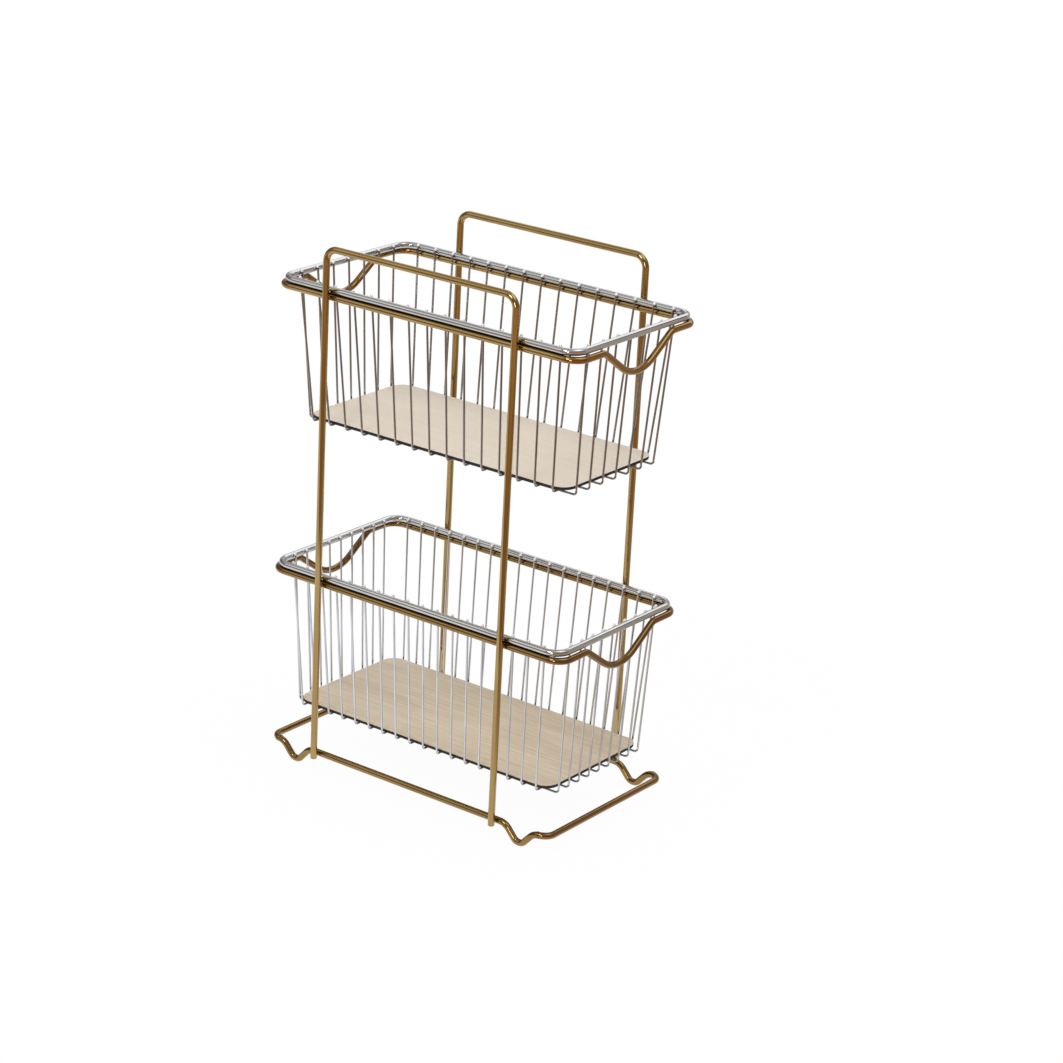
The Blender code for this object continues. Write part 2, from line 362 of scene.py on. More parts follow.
def draw_wire(name, bends, gauge, sides, closed=False):
    """A round wire, drawn from a circle by extruding its runs and spinning its bends."""
    deselect_all()
    first = bends[0].place
    begin = (bends[-1].place + first) / 2 if closed else first
    heading = first - begin if closed else bends[1].place - first
    bpy.ops.mesh.primitive_circle_add(
        vertices=sides,
        radius=gauge / 2,
        location=begin,
        rotation=heading.to_track_quat("Z", "Y").to_euler(),
    )
    wire = bpy.context.object
    wire.name = name
    bake_place(wire)
    bpy.ops.object.mode_set(mode="EDIT")
    bpy.ops.mesh.select_mode(type="VERT")
    bpy.ops.mesh.select_all(action="SELECT")
    here = begin
    for index in range(len(bends)) if closed else range(1, len(bends) - 1):
        after = bends[(index + 1) % len(bends)].place
        here = bend_out(here, bends[index - 1].place, bends[index], after)
    run_out(here, begin if closed else bends[-1].place)
    bpy.ops.mesh.select_all(action="SELECT")
    bpy.ops.mesh.remove_doubles(threshold=gauge * MERGE_DISTANCE)
    if not closed:
        close_ends(gauge * CUT_ROUND)
    bpy.ops.mesh.select_all(action="SELECT")
    bpy.ops.mesh.normals_make_consistent(inside=False)
    bpy.ops.object.mode_set(mode="OBJECT")
    bpy.ops.object.shade_smooth_by_angle(angle=SMOOTH_ANGLE)
    return wire


def half_turn(bends):
    """The same bends on the opposite side, so that a loop goes on the same way round."""
    return [Bend(Vector((-bend.place.x, -bend.place.y, bend.place.z)), bend.radius) for bend in bends]


def centre_reach(node, axis, gauge):
    """Half the size of a CAD bar between its centre lines."""
    low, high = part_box(node)
    return (high[axis] - low[axis] - gauge) / 2


def top_line(node, gauge):
    """Height of the centre line of a bar's highest run."""
    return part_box(node)[1].z - gauge / 2


def bottom_line(node, gauge):
    """Height of the centre line of a bar's lowest run."""
    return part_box(node)[0].z + gauge / 2


def rim_line(tier):
    """Height of a rim's centre line. The CAD leaves air under the rim, which here rests on its ring."""
    bars = bpy.context.scene.rack_bars
    return top_line(tier + "_rim", bars.gauge) - bars.settle


# Welds

# Two widths and the length of each kind of weld, as shares of the size that is set for it
FRAME_WELD = Vector((0.55, 0.55, 1.0))
RIM_WELD = Vector((0.9, 0.9, 1.2))
TIP_BEAD = Vector((1.0, 1.0, 0.9))
FLOOR_WELD = Vector((0.85, 0.85, 0.6))

# How far a weld's lumps stand out, as a share of its radius
LUMP_HEIGHT = 0.1


def weld_pattern():
    """One drop of weld, a ball one metre across with uneven lumps, to be copied and squashed."""
    deselect_all()
    bpy.ops.mesh.primitive_ico_sphere_add(subdivisions=2, radius=0.5)
    drop = bpy.context.object
    for vertex in drop.data.vertices:
        x, y, z = vertex.co
        lump = math.sin(7 * x + 3) * math.cos(5 * y - 4 * z)
        vertex.co *= 1 + LUMP_HEIGHT * lump
    return drop


def set_welds(name, places):
    """Copies one drop to each place and joins them. A place is a point, a heading and a size."""
    pattern = weld_pattern()
    drops = []
    for point, heading, size in places:
        drop = pattern.copy()
        drop.data = pattern.data.copy()
        bpy.context.collection.objects.link(drop)
        turn = heading.to_track_quat("Z", "Y")
        drop.matrix_world = Matrix.LocRotScale(point, turn, size)
        drops.append(drop)
    bpy.data.objects.remove(pattern)
    deselect_all()
    for drop in drops:
        drop.select_set(True)
    bpy.context.view_layer.objects.active = drops[0]
    bpy.ops.object.join()
    welds = bpy.context.object
    welds.name = name
    bake_place(welds)
    bpy.ops.object.shade_smooth()
    return welds


# Shader nodes


class Value:
    """The output of a shader node. Arithmetic written on it adds Math nodes."""

    def __init__(self, tree, socket):
        self.tree = tree
        self.socket = socket

    def math(self, operation, *values):
        """Adds a Math node that works on the values."""
        return self.tree.node("ShaderNodeMath", {"operation": operation}, dict(enumerate(values)))

    def __add__(self, other):
        return self.math("ADD", self, other)

    def __radd__(self, other):
        return self.math("ADD", other, self)

    def __sub__(self, other):
        return self.math("SUBTRACT", self, other)

    def __rsub__(self, other):
        return self.math("SUBTRACT", other, self)

    def __mul__(self, other):
        return self.math("MULTIPLY", self, other)

    def __rmul__(self, other):
        return self.math("MULTIPLY", other, self)


class ShaderTree:
    """The nodes of one material or world."""

    def __init__(self, owner):
        owner.use_nodes = True
        self.nodes = owner.node_tree.nodes
        self.links = owner.node_tree.links

    def node(self, kind, settings=None, inputs=None, output=0):
        """Adds a node: first its settings, then the values or links of its inputs."""
        node = self.nodes.new(kind)
        for key, value in (settings or {}).items():
            setattr(node, key, value)
        for key, value in (inputs or {}).items():
            self.feed(node.inputs[key], value)
        return Value(self, node.outputs[output])

    def feed(self, socket, value):
        """Links a node's output to a socket, or sets the socket to a number or colour."""
        if isinstance(value, Value):
            self.links.new(value.socket, socket)
        elif socket.type == "RGBA":
            socket.default_value = (*value, 1.0)
        else:
            socket.default_value = value

    def part(self, vector, axis):
        """The X, Y or Z of a vector."""
        return self.node("ShaderNodeSeparateXYZ", {}, {"Vector": vector}, axis)

    def ray(self, kind):
        """1 where the surface is met by a ray of this kind, and 0 elsewhere."""
        return self.node("ShaderNodeLightPath", {}, {}, f"Is {kind} Ray")

    def blend(self, share, first, second):
        """Mixes two colours by a share from 0 to 1."""
        return self.node("ShaderNodeMix", {"data_type": "RGBA"}, {0: share, 6: first, 7: second}, 2)

    def rise(self, value, low, high):
        """Goes softly from 0 to 1 as the value goes from low to high."""
        inputs = {"Value": value, "From Min": low, "From Max": high}
        return self.node("ShaderNodeMapRange", {"interpolation_type": "SMOOTHSTEP"}, inputs)

    def bump(self, height, strength, distance):
        """A normal that makes the height look raised."""
        inputs = {"Height": height, "Strength": strength, "Distance": distance}
        return self.node("ShaderNodeBump", {}, inputs)


# The stretch of a pattern that is alike along all axes
EVEN = (1.0, 1.0, 1.0)


class Finish(ShaderTree):
    """A Principled material, with patterns that lie in the object's own coordinates."""

    def __init__(self, name):
        self.material = bpy.data.materials.new(name)
        super().__init__(self.material)
        self.shader = self.nodes["Principled BSDF"]
        self.coords = self.node("ShaderNodeTexCoord", {}, {}, "Object")

    def noise(self, stretch, scale, detail=2.0, roughness=0.5):
        """Noise from about 0.25 to 0.75, its pattern squeezed along each axis by the stretch."""
        squeezed = self.node("ShaderNodeMapping", {}, {"Vector": self.coords, "Scale": stretch})
        inputs = {"Vector": squeezed, "Scale": scale, "Detail": detail, "Roughness": roughness}
        return self.node("ShaderNodeTexNoise", {}, inputs)

    def set(self, **inputs):
        """Feeds the shader's inputs, which are named in small letters, and gives the material."""
        for key, value in inputs.items():
            self.feed(self.shader.inputs[key.replace("_", " ").title()], value)
        return self.material


# Finishes

# Red, green and blue of the gold plating's deeper patches, as shares of the plating's own
PATCH_SHARES = (0.87, 0.84, 0.80)

# Distance from the rack's middle where gold starts to turn to painted shade, and where it has turned
END_SHADE_ZONE = (0.150, 0.178)

# Height over a board's underside where a wire's painted bend highlight starts, and where it is full
BEND_HIGHLIGHT_ZONE = (0.010, 0.002)

# The same for the painted shade on a thin wire under the board
UNDER_BOARD_SHADE_ZONE = (0.0005, -0.0010)

# How much darker a thin wire's patches are, from 0 to 1
WIRE_SHADE = 0.15

# Fixed colours: chrome patches, wire bends' painted highlight, rim crevices' painted shade, welds
BLACK = (0.0, 0.0, 0.0)
CHROME_SHADE = (0.56, 0.565, 0.575)
UPPER_BEND_HIGHLIGHT = (0.62, 0.635, 0.68)
LOWER_BEND_HIGHLIGHT = (0.66, 0.68, 0.71)
GOLD_PAINTED_CREVICE_SHADE = (0.13, 0.085, 0.032)
GOLD_PAINTED_CREVICE_SHADE_PATCH = (0.09, 0.058, 0.02)
CHROME_PAINTED_CREVICE_SHADE = (0.08, 0.08, 0.08)
CHROME_PAINTED_CREVICE_SHADE_PATCH = (0.06, 0.06, 0.06)
SILVER_WELD = (0.95, 0.95, 0.95)
SILVER_WELD_SHADE = (0.86, 0.86, 0.86)
GOLD_WELD = (0.36, 0.22, 0.08)
GOLD_WELD_SHADE = (0.17, 0.10, 0.045)

# How much the dark of the grain takes from red, green and blue, and how much the light adds
GRAIN_TINT = (1.0, 1.2, 1.5)
GRAIN_LIGHT = 0.3

# How dark a pore is, as a share of the board's colour, and how strongly it shows
PORE_SHADE = 0.45
PORE_SHOW = 0.22

# Specular level of bare wood
WOOD_SHEEN = 0.2

# How much paler a plain ply is than a scorched one
PLAIN_PLY = 3.2

# Patches of tone to a metre of bar
GOLD_PATCHES = 14.0
CHROME_PATCHES = 22.0
WIRE_PATCHES = 26.0


def chosen():
    """The colours that the user has set."""
    return bpy.context.scene.rack_finishes


def plated_wire(finish, colour, shade, dullness, patch_scale):
    """Bright plating over drawn wire: slow patches of tone, smears in the gloss and a fine grain."""
    mottle = finish.noise(EVEN, scale=patch_scale, detail=3.0)
    patches = finish.rise(mottle, low=0.35, high=0.65)
    smears = finish.noise(EVEN, scale=90.0, detail=4.0, roughness=0.6)
    grain = finish.noise(EVEN, scale=900.0)
    return finish.set(
        base_color=finish.blend(patches, colour, shade),
        metallic=1.0,
        roughness=dullness + 0.08 * smears,
        normal=finish.bump(grain, strength=0.012, distance=0.0001),
    )


def frame_plating(name, gold, end_shade):
    """The frame's gold colour, which turns darker and browner at the rack's ends as painted shade."""
    finish = Finish(name)
    along = finish.part(finish.coords, 0)
    # Painted shade towards the rack's ends
    end = finish.rise(along.math("ABSOLUTE", along), *END_SHADE_ZONE)
    patch = [part * share for part, share in zip(gold, PATCH_SHARES)]
    colour = finish.blend(end, gold, end_shade)
    shade = finish.blend(end, patch, end_shade)
    return plated_wire(finish, colour, shade, dullness=0.07, patch_scale=GOLD_PATCHES)


def thin_wire_plating(name, tier, wall, bend):
    """A basket's thin wire: wall colour, painted highlight in the bends, painted shade under the board.
    """
    finish = Finish(name)
    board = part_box(tier + "_board")[0].z
    height = finish.part(finish.coords, 2)
    # Painted highlight in the bends just over the board, painted shade under it
    bend_highlight = finish.rise(height, *(board + offset for offset in BEND_HIGHLIGHT_ZONE))
    under_board_shade = finish.rise(height, *(board + offset for offset in UNDER_BOARD_SHADE_ZONE))
    colour = finish.blend(under_board_shade, finish.blend(bend_highlight, wall, bend), chosen().under_board_shade)
    shade = finish.blend(WIRE_SHADE, colour, BLACK)
    return plated_wire(finish, colour, shade, dullness=0.08, patch_scale=WIRE_PATCHES)


def weld_metal(name, colour, shade, dullness, metallic):
    """Plated weld: mottled, uneven and duller than the wire."""
    finish = Finish(name)
    mottle = finish.noise(EVEN, scale=700.0, detail=3.0)
    return finish.set(
        base_color=finish.blend(mottle, colour, shade),
        metallic=metallic,
        roughness=dullness + 0.2 * mottle,
        normal=finish.bump(mottle, strength=0.35, distance=0.0003),
    )


def birch_face(name, colour, contrast):
    """Sliced birch: soft bands, long streaks, fine lines and short pores along X."""
    finish = Finish(name)
    bands = finish.noise((2.0, 7.0, 7.0), scale=1.6, detail=3.0)
    streaks = finish.noise((5.0, 95.0, 20.0), scale=3.2, detail=5.0, roughness=0.62)
    lines = finish.noise((9.0, 520.0, 60.0), scale=2.4, detail=3.0)
    specks = finish.noise((70.0, 1500.0, 90.0), scale=2.0)
    pores = finish.rise(specks, low=0.60, high=0.72)
    pale = [(1 + GRAIN_LIGHT * contrast) * part for part in colour]
    deep = [(1 - contrast * tint) * part for part, tint in zip(colour, GRAIN_TINT)]
    pore_colour = [PORE_SHADE * part for part in colour]
    figure = finish.rise(0.45 * bands + 0.4 * streaks + 0.25 * lines, low=0.40, high=0.70)
    finish.feed(finish.shader.inputs["Specular IOR Level"], WOOD_SHEEN)
    return finish.set(
        base_color=finish.blend(PORE_SHOW * pores, finish.blend(figure, pale, deep), pore_colour),
        roughness=0.52 + 0.16 * streaks,
        normal=finish.bump(lines - 0.6 * pores, strength=0.16, distance=0.0002),
    )


def scorched_edge(name, colour):
    """The plies of a board's edge, darkened by the cut."""
    finish = Finish(name)
    plies = finish.noise((6.0, 6.0, 1400.0), scale=1.0)
    scorch = finish.noise((1.0, 1.0, 0.3), scale=260.0, detail=3.0)
    plain_ply = [PLAIN_PLY * part for part in colour]
    plain = finish.rise(plies + 0.4 * scorch, low=0.55, high=0.95)
    return finish.set(
        base_color=finish.blend(plain, colour, plain_ply),
        roughness=0.62 + 0.2 * scorch,
        normal=finish.bump(scorch, strength=0.25, distance=0.0002),
    )


FINISH_MAKERS = {
    # The lower ring and base take a darker copy of the gold, and all bars darken at the ends: painted
    # shade
    "gold plating": lambda name: frame_plating(name, chosen().gold, chosen().end_shade),
    "shaded low gold plating": lambda name: frame_plating(name, chosen().shaded_low_gold, chosen().low_end_shade),
    "rim chrome": lambda name: plated_wire(
        Finish(name), chosen().chrome, CHROME_SHADE, dullness=0.05, patch_scale=CHROME_PATCHES
    ),
    # Painted shade for the crevice where a rim lies on its ring
    "gold painted crevice shade": lambda name: plated_wire(
        Finish(name), GOLD_PAINTED_CREVICE_SHADE, GOLD_PAINTED_CREVICE_SHADE_PATCH, dullness=0.4, patch_scale=GOLD_PATCHES
    ),
    "chrome painted crevice shade": lambda name: plated_wire(
        Finish(name), CHROME_PAINTED_CREVICE_SHADE, CHROME_PAINTED_CREVICE_SHADE_PATCH, dullness=0.4, patch_scale=CHROME_PATCHES
    ),
    # Thin wires: darker upper and paler lower chrome, painted highlights in bends, painted shade under
    # boards
    "upper wire chrome": lambda name: thin_wire_plating(name, "upper", chosen().upper_wire, UPPER_BEND_HIGHLIGHT),
    "lower wire chrome": lambda name: thin_wire_plating(name, "lower", chosen().lower_wire, LOWER_BEND_HIGHLIGHT),
    "silver weld": lambda name: weld_metal(
        name, SILVER_WELD, SILVER_WELD_SHADE, dullness=0.30, metallic=0.35
    ),
    "gold weld": lambda name: weld_metal(name, GOLD_WELD, GOLD_WELD_SHADE, dullness=0.26, metallic=1.0),
    "upper birch": lambda name: birch_face(name, chosen().upper_birch, contrast=0.08),
    "lower birch": lambda name: birch_face(name, chosen().lower_birch, contrast=0.21),
    "birch edge": lambda name: scorched_edge(name, chosen().birch_edge),
}


def complete(piece, body, finishes, nodes=()):
    """Gives a piece its finishes, the body it rides on and the CAD nodes it stands for."""
    for name in finishes:
        piece.data.materials.append(bpy.data.materials.get(name) or FINISH_MAKERS[name](name))
    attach(piece, body)
    if nodes:
        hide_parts(*nodes)


# The frame


def leg_reach():
    """Half the distance between the centre lines of a hoop's legs."""
    return centre_reach("front_hoop", 0, bpy.context.scene.rack_bars.gauge)


def draw_bar(node, bends, closed, body, finishes):
    """Draws a thick bar in the place of its CAD node."""
    bars = bpy.context.scene.rack_bars
    bar = draw_wire(node + "_bar", bends, bars.gauge, bars.sides, closed)
    complete(bar, body, finishes, [node])


# The share of the painted crevice shade's width that is dark on the side towards the rack's middle
INNER_CREVICE_SHADE = 0.45


def paint_crevice_shade(bar, other, width):
    """Paints crevice shade: faces close against another bar take the second finish, less inside."""
    for face in bar.data.polygons:
        inward = face.normal.xy.dot(face.center.xy) < 0
        place = other.closest_point_on_mesh(face.center)[1]
        if (place - face.center).length < (INNER_CREVICE_SHADE * width if inward else width):
            face.material_index = 1


class RACK_OT_base_ring(bpy.types.Operator):
    """The floor loop with its four dipped feet"""

    bl_idname = "rack.base_ring"
    bl_label = "Base ring"

    def execute(self, context):
        bars = context.scene.rack_bars
        height = top_line("base_ring", bars.gauge)
        sole = bottom_line("base_ring", bars.gauge)
        half_length = centre_reach("base_ring", 0, bars.gauge)
        half_width = centre_reach("base_ring", 1, bars.gauge)
        foot = (
            (-bars.foot_top / 2, height, bars.foot_shoulder),
            (-bars.foot_sole / 2, sole, bars.foot_bend),
            (bars.foot_sole / 2, sole, bars.foot_bend),
            (bars.foot_top / 2, height, bars.foot_shoulder),
        )
        half = []
        for sign in (-1, 1):
            centre = sign * (leg_reach() + bars.foot_offset)
            half += [Bend(Vector((centre + x, -half_width, z)), radius) for x, z, radius in foot]
        for sign in (-1, 1):
            half.append(Bend(Vector((half_length, sign * half_width, height)), bars.base_corner))
        # The base takes the darker copy of the gold: painted shade
        draw_bar("base_ring", half + half_turn(half), True, "frame", ["shaded low gold plating"])
        return {"FINISHED"}


class RACK_OT_hoops(bpy.types.Operator):
    """The front and the rear hoop"""

    bl_idname = "rack.hoops"
    bl_label = "Hoops"

    def execute(self, context):
        bars = context.scene.rack_bars
        for node in ("front_hoop", "rear_hoop"):
            low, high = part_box(node)
            y = (low.y + high.y) / 2
            top = top_line(node, bars.gauge)
            bends = [
                Bend(Vector((-leg_reach(), y, low.z)), 0),
                Bend(Vector((-leg_reach(), y, top)), bars.hoop_corner),
                Bend(Vector((leg_reach(), y, top)), bars.hoop_corner),
                Bend(Vector((leg_reach(), y, low.z)), 0),
            ]
            draw_bar(node, bends, False, "frame", ["gold plating"])
        return {"FINISHED"}


class RACK_OT_basket_rings(bpy.types.Operator):
    """The two rings that carry the baskets, with a finger dip in each end"""

    bl_idname = "rack.basket_rings"
    bl_label = "Basket rings"

    def execute(self, context):
        bars = context.scene.rack_bars
        for tier in TIERS:
            node = tier + "_ring"
            height = top_line(node, bars.gauge)
            bottom = bottom_line(node, bars.gauge)
            half_length = centre_reach(node, 0, bars.gauge)
            half_width = centre_reach(node, 1, bars.gauge)
            right_end = (
                (-half_width, height, bars.ring_corner),
                (-bars.dip_top / 2, height, bars.dip_top_bend),
                (-bars.dip_bottom / 2, bottom, bars.dip_bottom_bend),
                (bars.dip_bottom / 2, bottom, bars.dip_bottom_bend),
                (bars.dip_top / 2, height, bars.dip_top_bend),
                (half_width, height, bars.ring_corner),
            )
            half = [Bend(Vector((half_length, y, z)), radius) for y, z, radius in right_end]
            # The lower ring takes the darker copy of the gold: painted shade
            plating = "shaded low gold plating" if tier == "lower" else "gold plating"
            # The ring's second finish is the painted shade of the crevice under its rim
            draw_bar(node, half + half_turn(half), True, "frame", [plating, "gold painted crevice shade"])
        return {"FINISHED"}


class RACK_OT_frame_welds(bpy.types.Operator):
    """The welds where the hoops' legs meet the rings and the base"""

    bl_idname = "rack.frame_welds"
    bl_label = "Frame welds"

    def execute(self, context):
        bars = context.scene.rack_bars
        seam = centre_reach("upper_ring", 1, bars.gauge) + bars.gauge / 2
        size = bars.weld * FRAME_WELD
        places = []
        for node in ("base_ring", "lower_ring", "upper_ring"):
            height = top_line(node, bars.gauge)
            for x_sign, y_sign in CORNER_SIGNS:
                point = Vector((x_sign * leg_reach(), y_sign * seam, height))
                places.append((point, Vector((0, 0, 1)), size))
                places.append((point, Vector((1, 0, 0)), size))
        welds = set_welds("frame_welds", places)
        complete(welds, "frame", ["gold weld"])
        return {"FINISHED"}


# The baskets


class RACK_OT_rims(bpy.types.Operator):
    """The baskets' heavy rims, with painted shade in the crevice where they lie on the rings"""

    bl_idname = "rack.rims"
    bl_label = "Rims"

    def execute(self, context):
        bars = context.scene.rack_bars
        for tier in TIERS:
            node = tier + "_rim"
            half_length = centre_reach(node, 0, bars.gauge)
            half_width = centre_reach(node, 1, bars.gauge)
            height = rim_line(tier)
            bends = [
                Bend(Vector((x_sign * half_length, y_sign * half_width, height)), bars.ring_corner)
                for x_sign, y_sign in CORNER_SIGNS
            ]
            draw_bar(node, bends, True, tier + "_basket", ["rim chrome", "chrome painted crevice shade"])
            rim = bpy.data.objects[node + "_bar"]
            ring = bpy.data.objects[tier + "_ring_bar"]
            # Painted shade in the crevice where the rim lies on its ring, on both bars
            paint_crevice_shade(rim, ring, bars.seam)
            paint_crevice_shade(ring, rim, bars.seam)
        return {"FINISHED"}


def basket_nodes(tier, kind):
    """The CAD nodes of a basket's cross wires or long wires, in order."""
    return sorted(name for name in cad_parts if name.startswith(f"{tier}_{kind}_wire_"))


def fan_places(node, axis):
    """Where a thin wire stands along an axis at the rim and at the floor: the walls fan out."""
    gauge = bpy.context.scene.rack_baskets.gauge
    low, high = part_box(node)
    near = low[axis] + gauge / 2
    far = high[axis] - gauge / 2
    return (near, far) if near + far < 0 else (far, near)


def on_wall(sign, kind, out, aside, height):
    """A point at a distance out from the middle of the basket, on one wall of the two."""
    along, across = RUNS[kind]
    point = Vector((0, 0, height))
    point[along] = sign * out
    point[across] = aside
    return point


def wall_outline(tier, kind):
    """Tip, lean and floor corner of a wall's wire: (distance out, height, bend radius) for each."""
    bars = bpy.context.scene.rack_bars
    baskets = bpy.context.scene.rack_baskets
    index = TIERS.index(tier)
    taper = (baskets.side_taper if kind == "cross" else baskets.end_taper)[index]
    floor_bend = (baskets.side_bend if kind == "cross" else baskets.end_bend)[index]
    lean = baskets.tip_lean
    reach = (bars.gauge + baskets.gauge) / 2 + CLEARANCE
    rim_half = centre_reach(tier + "_rim", RUNS[kind][0], bars.gauge)
    rim_height = rim_line(tier)
    floor_half = rim_half - taper
    floor_height = bottom_line(basket_nodes(tier, kind)[0], baskets.gauge)
    slope = math.atan2(rim_half - reach - floor_half, rim_height - floor_height)
    bend_angle = (lean + slope) / 2
    bend_reach = reach / math.cos((lean - slope) / 2)
    bend_out_place = rim_half - bend_reach * math.cos(bend_angle)
    bend_height = rim_height + bend_reach * math.sin(bend_angle)
    tip_in = reach * math.cos(lean) - baskets.tip_length * math.sin(lean)
    tip_up = reach * math.sin(lean) + baskets.tip_length * math.cos(lean)
    return (
        (rim_half - tip_in, rim_height + tip_up, 0),
        (bend_out_place, bend_height, reach),
        (floor_half, floor_height, floor_bend),
    )


def draw_thin_wires(kind):
    """Draws both baskets' wires of one kind, each from tip to tip as one U."""
    baskets = bpy.context.scene.rack_baskets
    across = RUNS[kind][1]
    for tier in TIERS:
        outline = wall_outline(tier, kind)
        for node in basket_nodes(tier, kind):
            rim_place, floor_place = fan_places(node, across)
            asides = (rim_place, rim_place, floor_place)
            walls = {}
            for sign in (-1, 1):
                walls[sign] = [
                    Bend(on_wall(sign, kind, out, aside, height), radius)
                    for (out, height, radius), aside in zip(outline, asides)
                ]
            bends = walls[-1] + walls[1][::-1]
            wire = draw_wire(node + "_drawn", bends, baskets.gauge, baskets.sides)
            complete(wire, tier + "_basket", [tier + " wire chrome"], [node])


class RACK_OT_cross_wires(bpy.types.Operator):
    """The thin wires that run across the baskets"""

    bl_idname = "rack.cross_wires"
    bl_label = "Cross wires"

    def execute(self, context):
        draw_thin_wires("cross")
        return {"FINISHED"}


class RACK_OT_long_wires(bpy.types.Operator):
    """The thin wires that run along the baskets"""

    bl_idname = "rack.long_wires"
    bl_label = "Long wires"

    def execute(self, context):
        draw_thin_wires("long")
        return {"FINISHED"}


def rim_weld_places(tier):
    """A weld where each thin wire leans on the rim."""
    bars = bpy.context.scene.rack_bars
    baskets = bpy.context.scene.rack_baskets
    lean = baskets.tip_lean
    contact = (bars.gauge + baskets.gauge) / 2 + CLEARANCE
    size = baskets.weld * RIM_WELD
    bead = baskets.tip_bead * TIP_BEAD
    height = rim_line(tier) + contact * math.sin(lean)
    places = []
    for kind, (along, across) in RUNS.items():
        out = centre_reach(tier + "_rim", along, bars.gauge) - contact * math.cos(lean)
        tip_out, tip_height, _ = wall_outline(tier, kind)[0]
        for node in basket_nodes(tier, kind):
            rim_place = fan_places(node, across)[0]
            for sign in (-1, 1):
                heading = on_wall(sign, kind, math.sin(lean), 0, math.cos(lean))
                places.append((on_wall(sign, kind, out, rim_place, height), heading, size))
                places.append((on_wall(sign, kind, tip_out, rim_place, tip_height), heading, bead))
    return places


def floor_weld_places(tier):
    """A weld at each crossing of the thin wires under the board."""
    baskets = bpy.context.scene.rack_baskets
    cross_nodes = basket_nodes(tier, "cross")
    long_nodes = basket_nodes(tier, "long")
    cross_line = bottom_line(cross_nodes[0], baskets.gauge)
    long_line = bottom_line(long_nodes[0], baskets.gauge)
    height = (cross_line + long_line) / 2
    size = baskets.weld * FLOOR_WELD
    places = []
    for cross_node in cross_nodes:
        x = fan_places(cross_node, RUNS["cross"][1])[1]
        for long_node in long_nodes:
            y = fan_places(long_node, RUNS["long"][1])[1]
            places.append((Vector((x, y, height)), Vector((0, 0, 1)), size))
    return places


class RACK_OT_basket_welds(bpy.types.Operator):
    """The welds at the rims and where the thin wires cross"""

    bl_idname = "rack.basket_welds"
    bl_label = "Basket welds"

    def execute(self, context):
        for tier in TIERS:
            rim_welds = set_welds(tier + "_rim_welds", rim_weld_places(tier))
            complete(rim_welds, tier + "_basket", ["silver weld"])
            floor_welds = set_welds(tier + "_floor_welds", floor_weld_places(tier))
            complete(floor_welds, tier + "_basket", ["silver weld"])
        return {"FINISHED"}


# The boards

# Steps of the bevel round a board's corners and along its edges
CORNER_STEPS = 14
EDGE_STEPS = 3

# A board's faces are birch where their normal is at least this upright
FLAT = 0.99

# A board's edges look smooth up to this angle
BOARD_SMOOTH_ANGLE = math.radians(40)


def round_edges(obj, chosen_edges, radius, segments):
    """Bevels the edges whose two ends pass the test."""
    mesh = obj.data
    bpy.ops.object.mode_set(mode="EDIT")
    bpy.ops.mesh.select_mode(type="EDGE")
    bpy.ops.mesh.select_all(action="DESELECT")
    bpy.ops.object.mode_set(mode="OBJECT")
    for edge in mesh.edges:
        start, end = (mesh.vertices[index].co for index in edge.vertices)
        edge.select = chosen_edges(start, end)
    bpy.ops.object.mode_set(mode="EDIT")
    bpy.ops.mesh.bevel(offset=radius, segments=segments, affect="EDGES")
    bpy.ops.object.mode_set(mode="OBJECT")


class RACK_OT_boards(bpy.types.Operator):
    """The loose birch boards on the baskets' floors"""

    bl_idname = "rack.boards"
    bl_label = "Boards"

    def execute(self, context):
        boards = context.scene.rack_boards
        for tier in TIERS:
            node = tier + "_board"
            low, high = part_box(node)
            deselect_all()
            bpy.ops.mesh.primitive_cube_add(size=1, location=(low + high) / 2, scale=high - low)
            sheet = bpy.context.object
            sheet.name = node + "_sheet"
            bake_place(sheet)
            middle = (high.z - low.z) / 2
            round_edges(sheet, lambda a, b: abs(a.z - b.z) > middle, boards.corner, CORNER_STEPS)
            round_edges(sheet, lambda a, b: abs(a.z - b.z) < middle, boards.edge, EDGE_STEPS)
            complete(sheet, node, [tier + " birch", "birch edge"], [node])
            for face in sheet.data.polygons:
                face.material_index = 0 if abs(face.normal.z) > FLAT else 1
            bpy.ops.object.shade_smooth_by_angle(angle=BOARD_SMOOTH_ANGLE)
        return {"FINISHED"}


# The studio

WHITE = (1.0, 1.0, 1.0)

# The floor's paper as it is, and as the metal sees it near the rack, far away, on the right and
# in front
PAPER = (0.84, 0.84, 0.84)
PAPER_NEAR = (0.98, 0.98, 1.0)
PAPER_FAR = (0.78, 0.78, 0.80)
PAPER_RIGHT = (0.50, 0.42, 0.32)
FRONT_BROWN = (0.34, 0.205, 0.11)
FAR_FRONT_BROWN = (0.58, 0.375, 0.215)

# The room's walls and ceiling, as the metal sees them
FRONT_WALL = (0.22, 0.21, 0.19)
BACK_WALL = (0.50, 0.48, 0.46)
CEILING = (0.53, 0.54, 0.54)

WARM_CARD = (0.44, 0.385, 0.32)
DARK_CARD = (0.08, 0.08, 0.08)

# Share of plain white in the floor under the rack. The rest of it takes the shadow.
PLAIN_WHITE = 0.965

# Where the lamps point: the middle of the rack, and its feet
MIDDLE = (0.0, 0.0, 0.30)
FEET = (0.0, 0.0, 0.1)


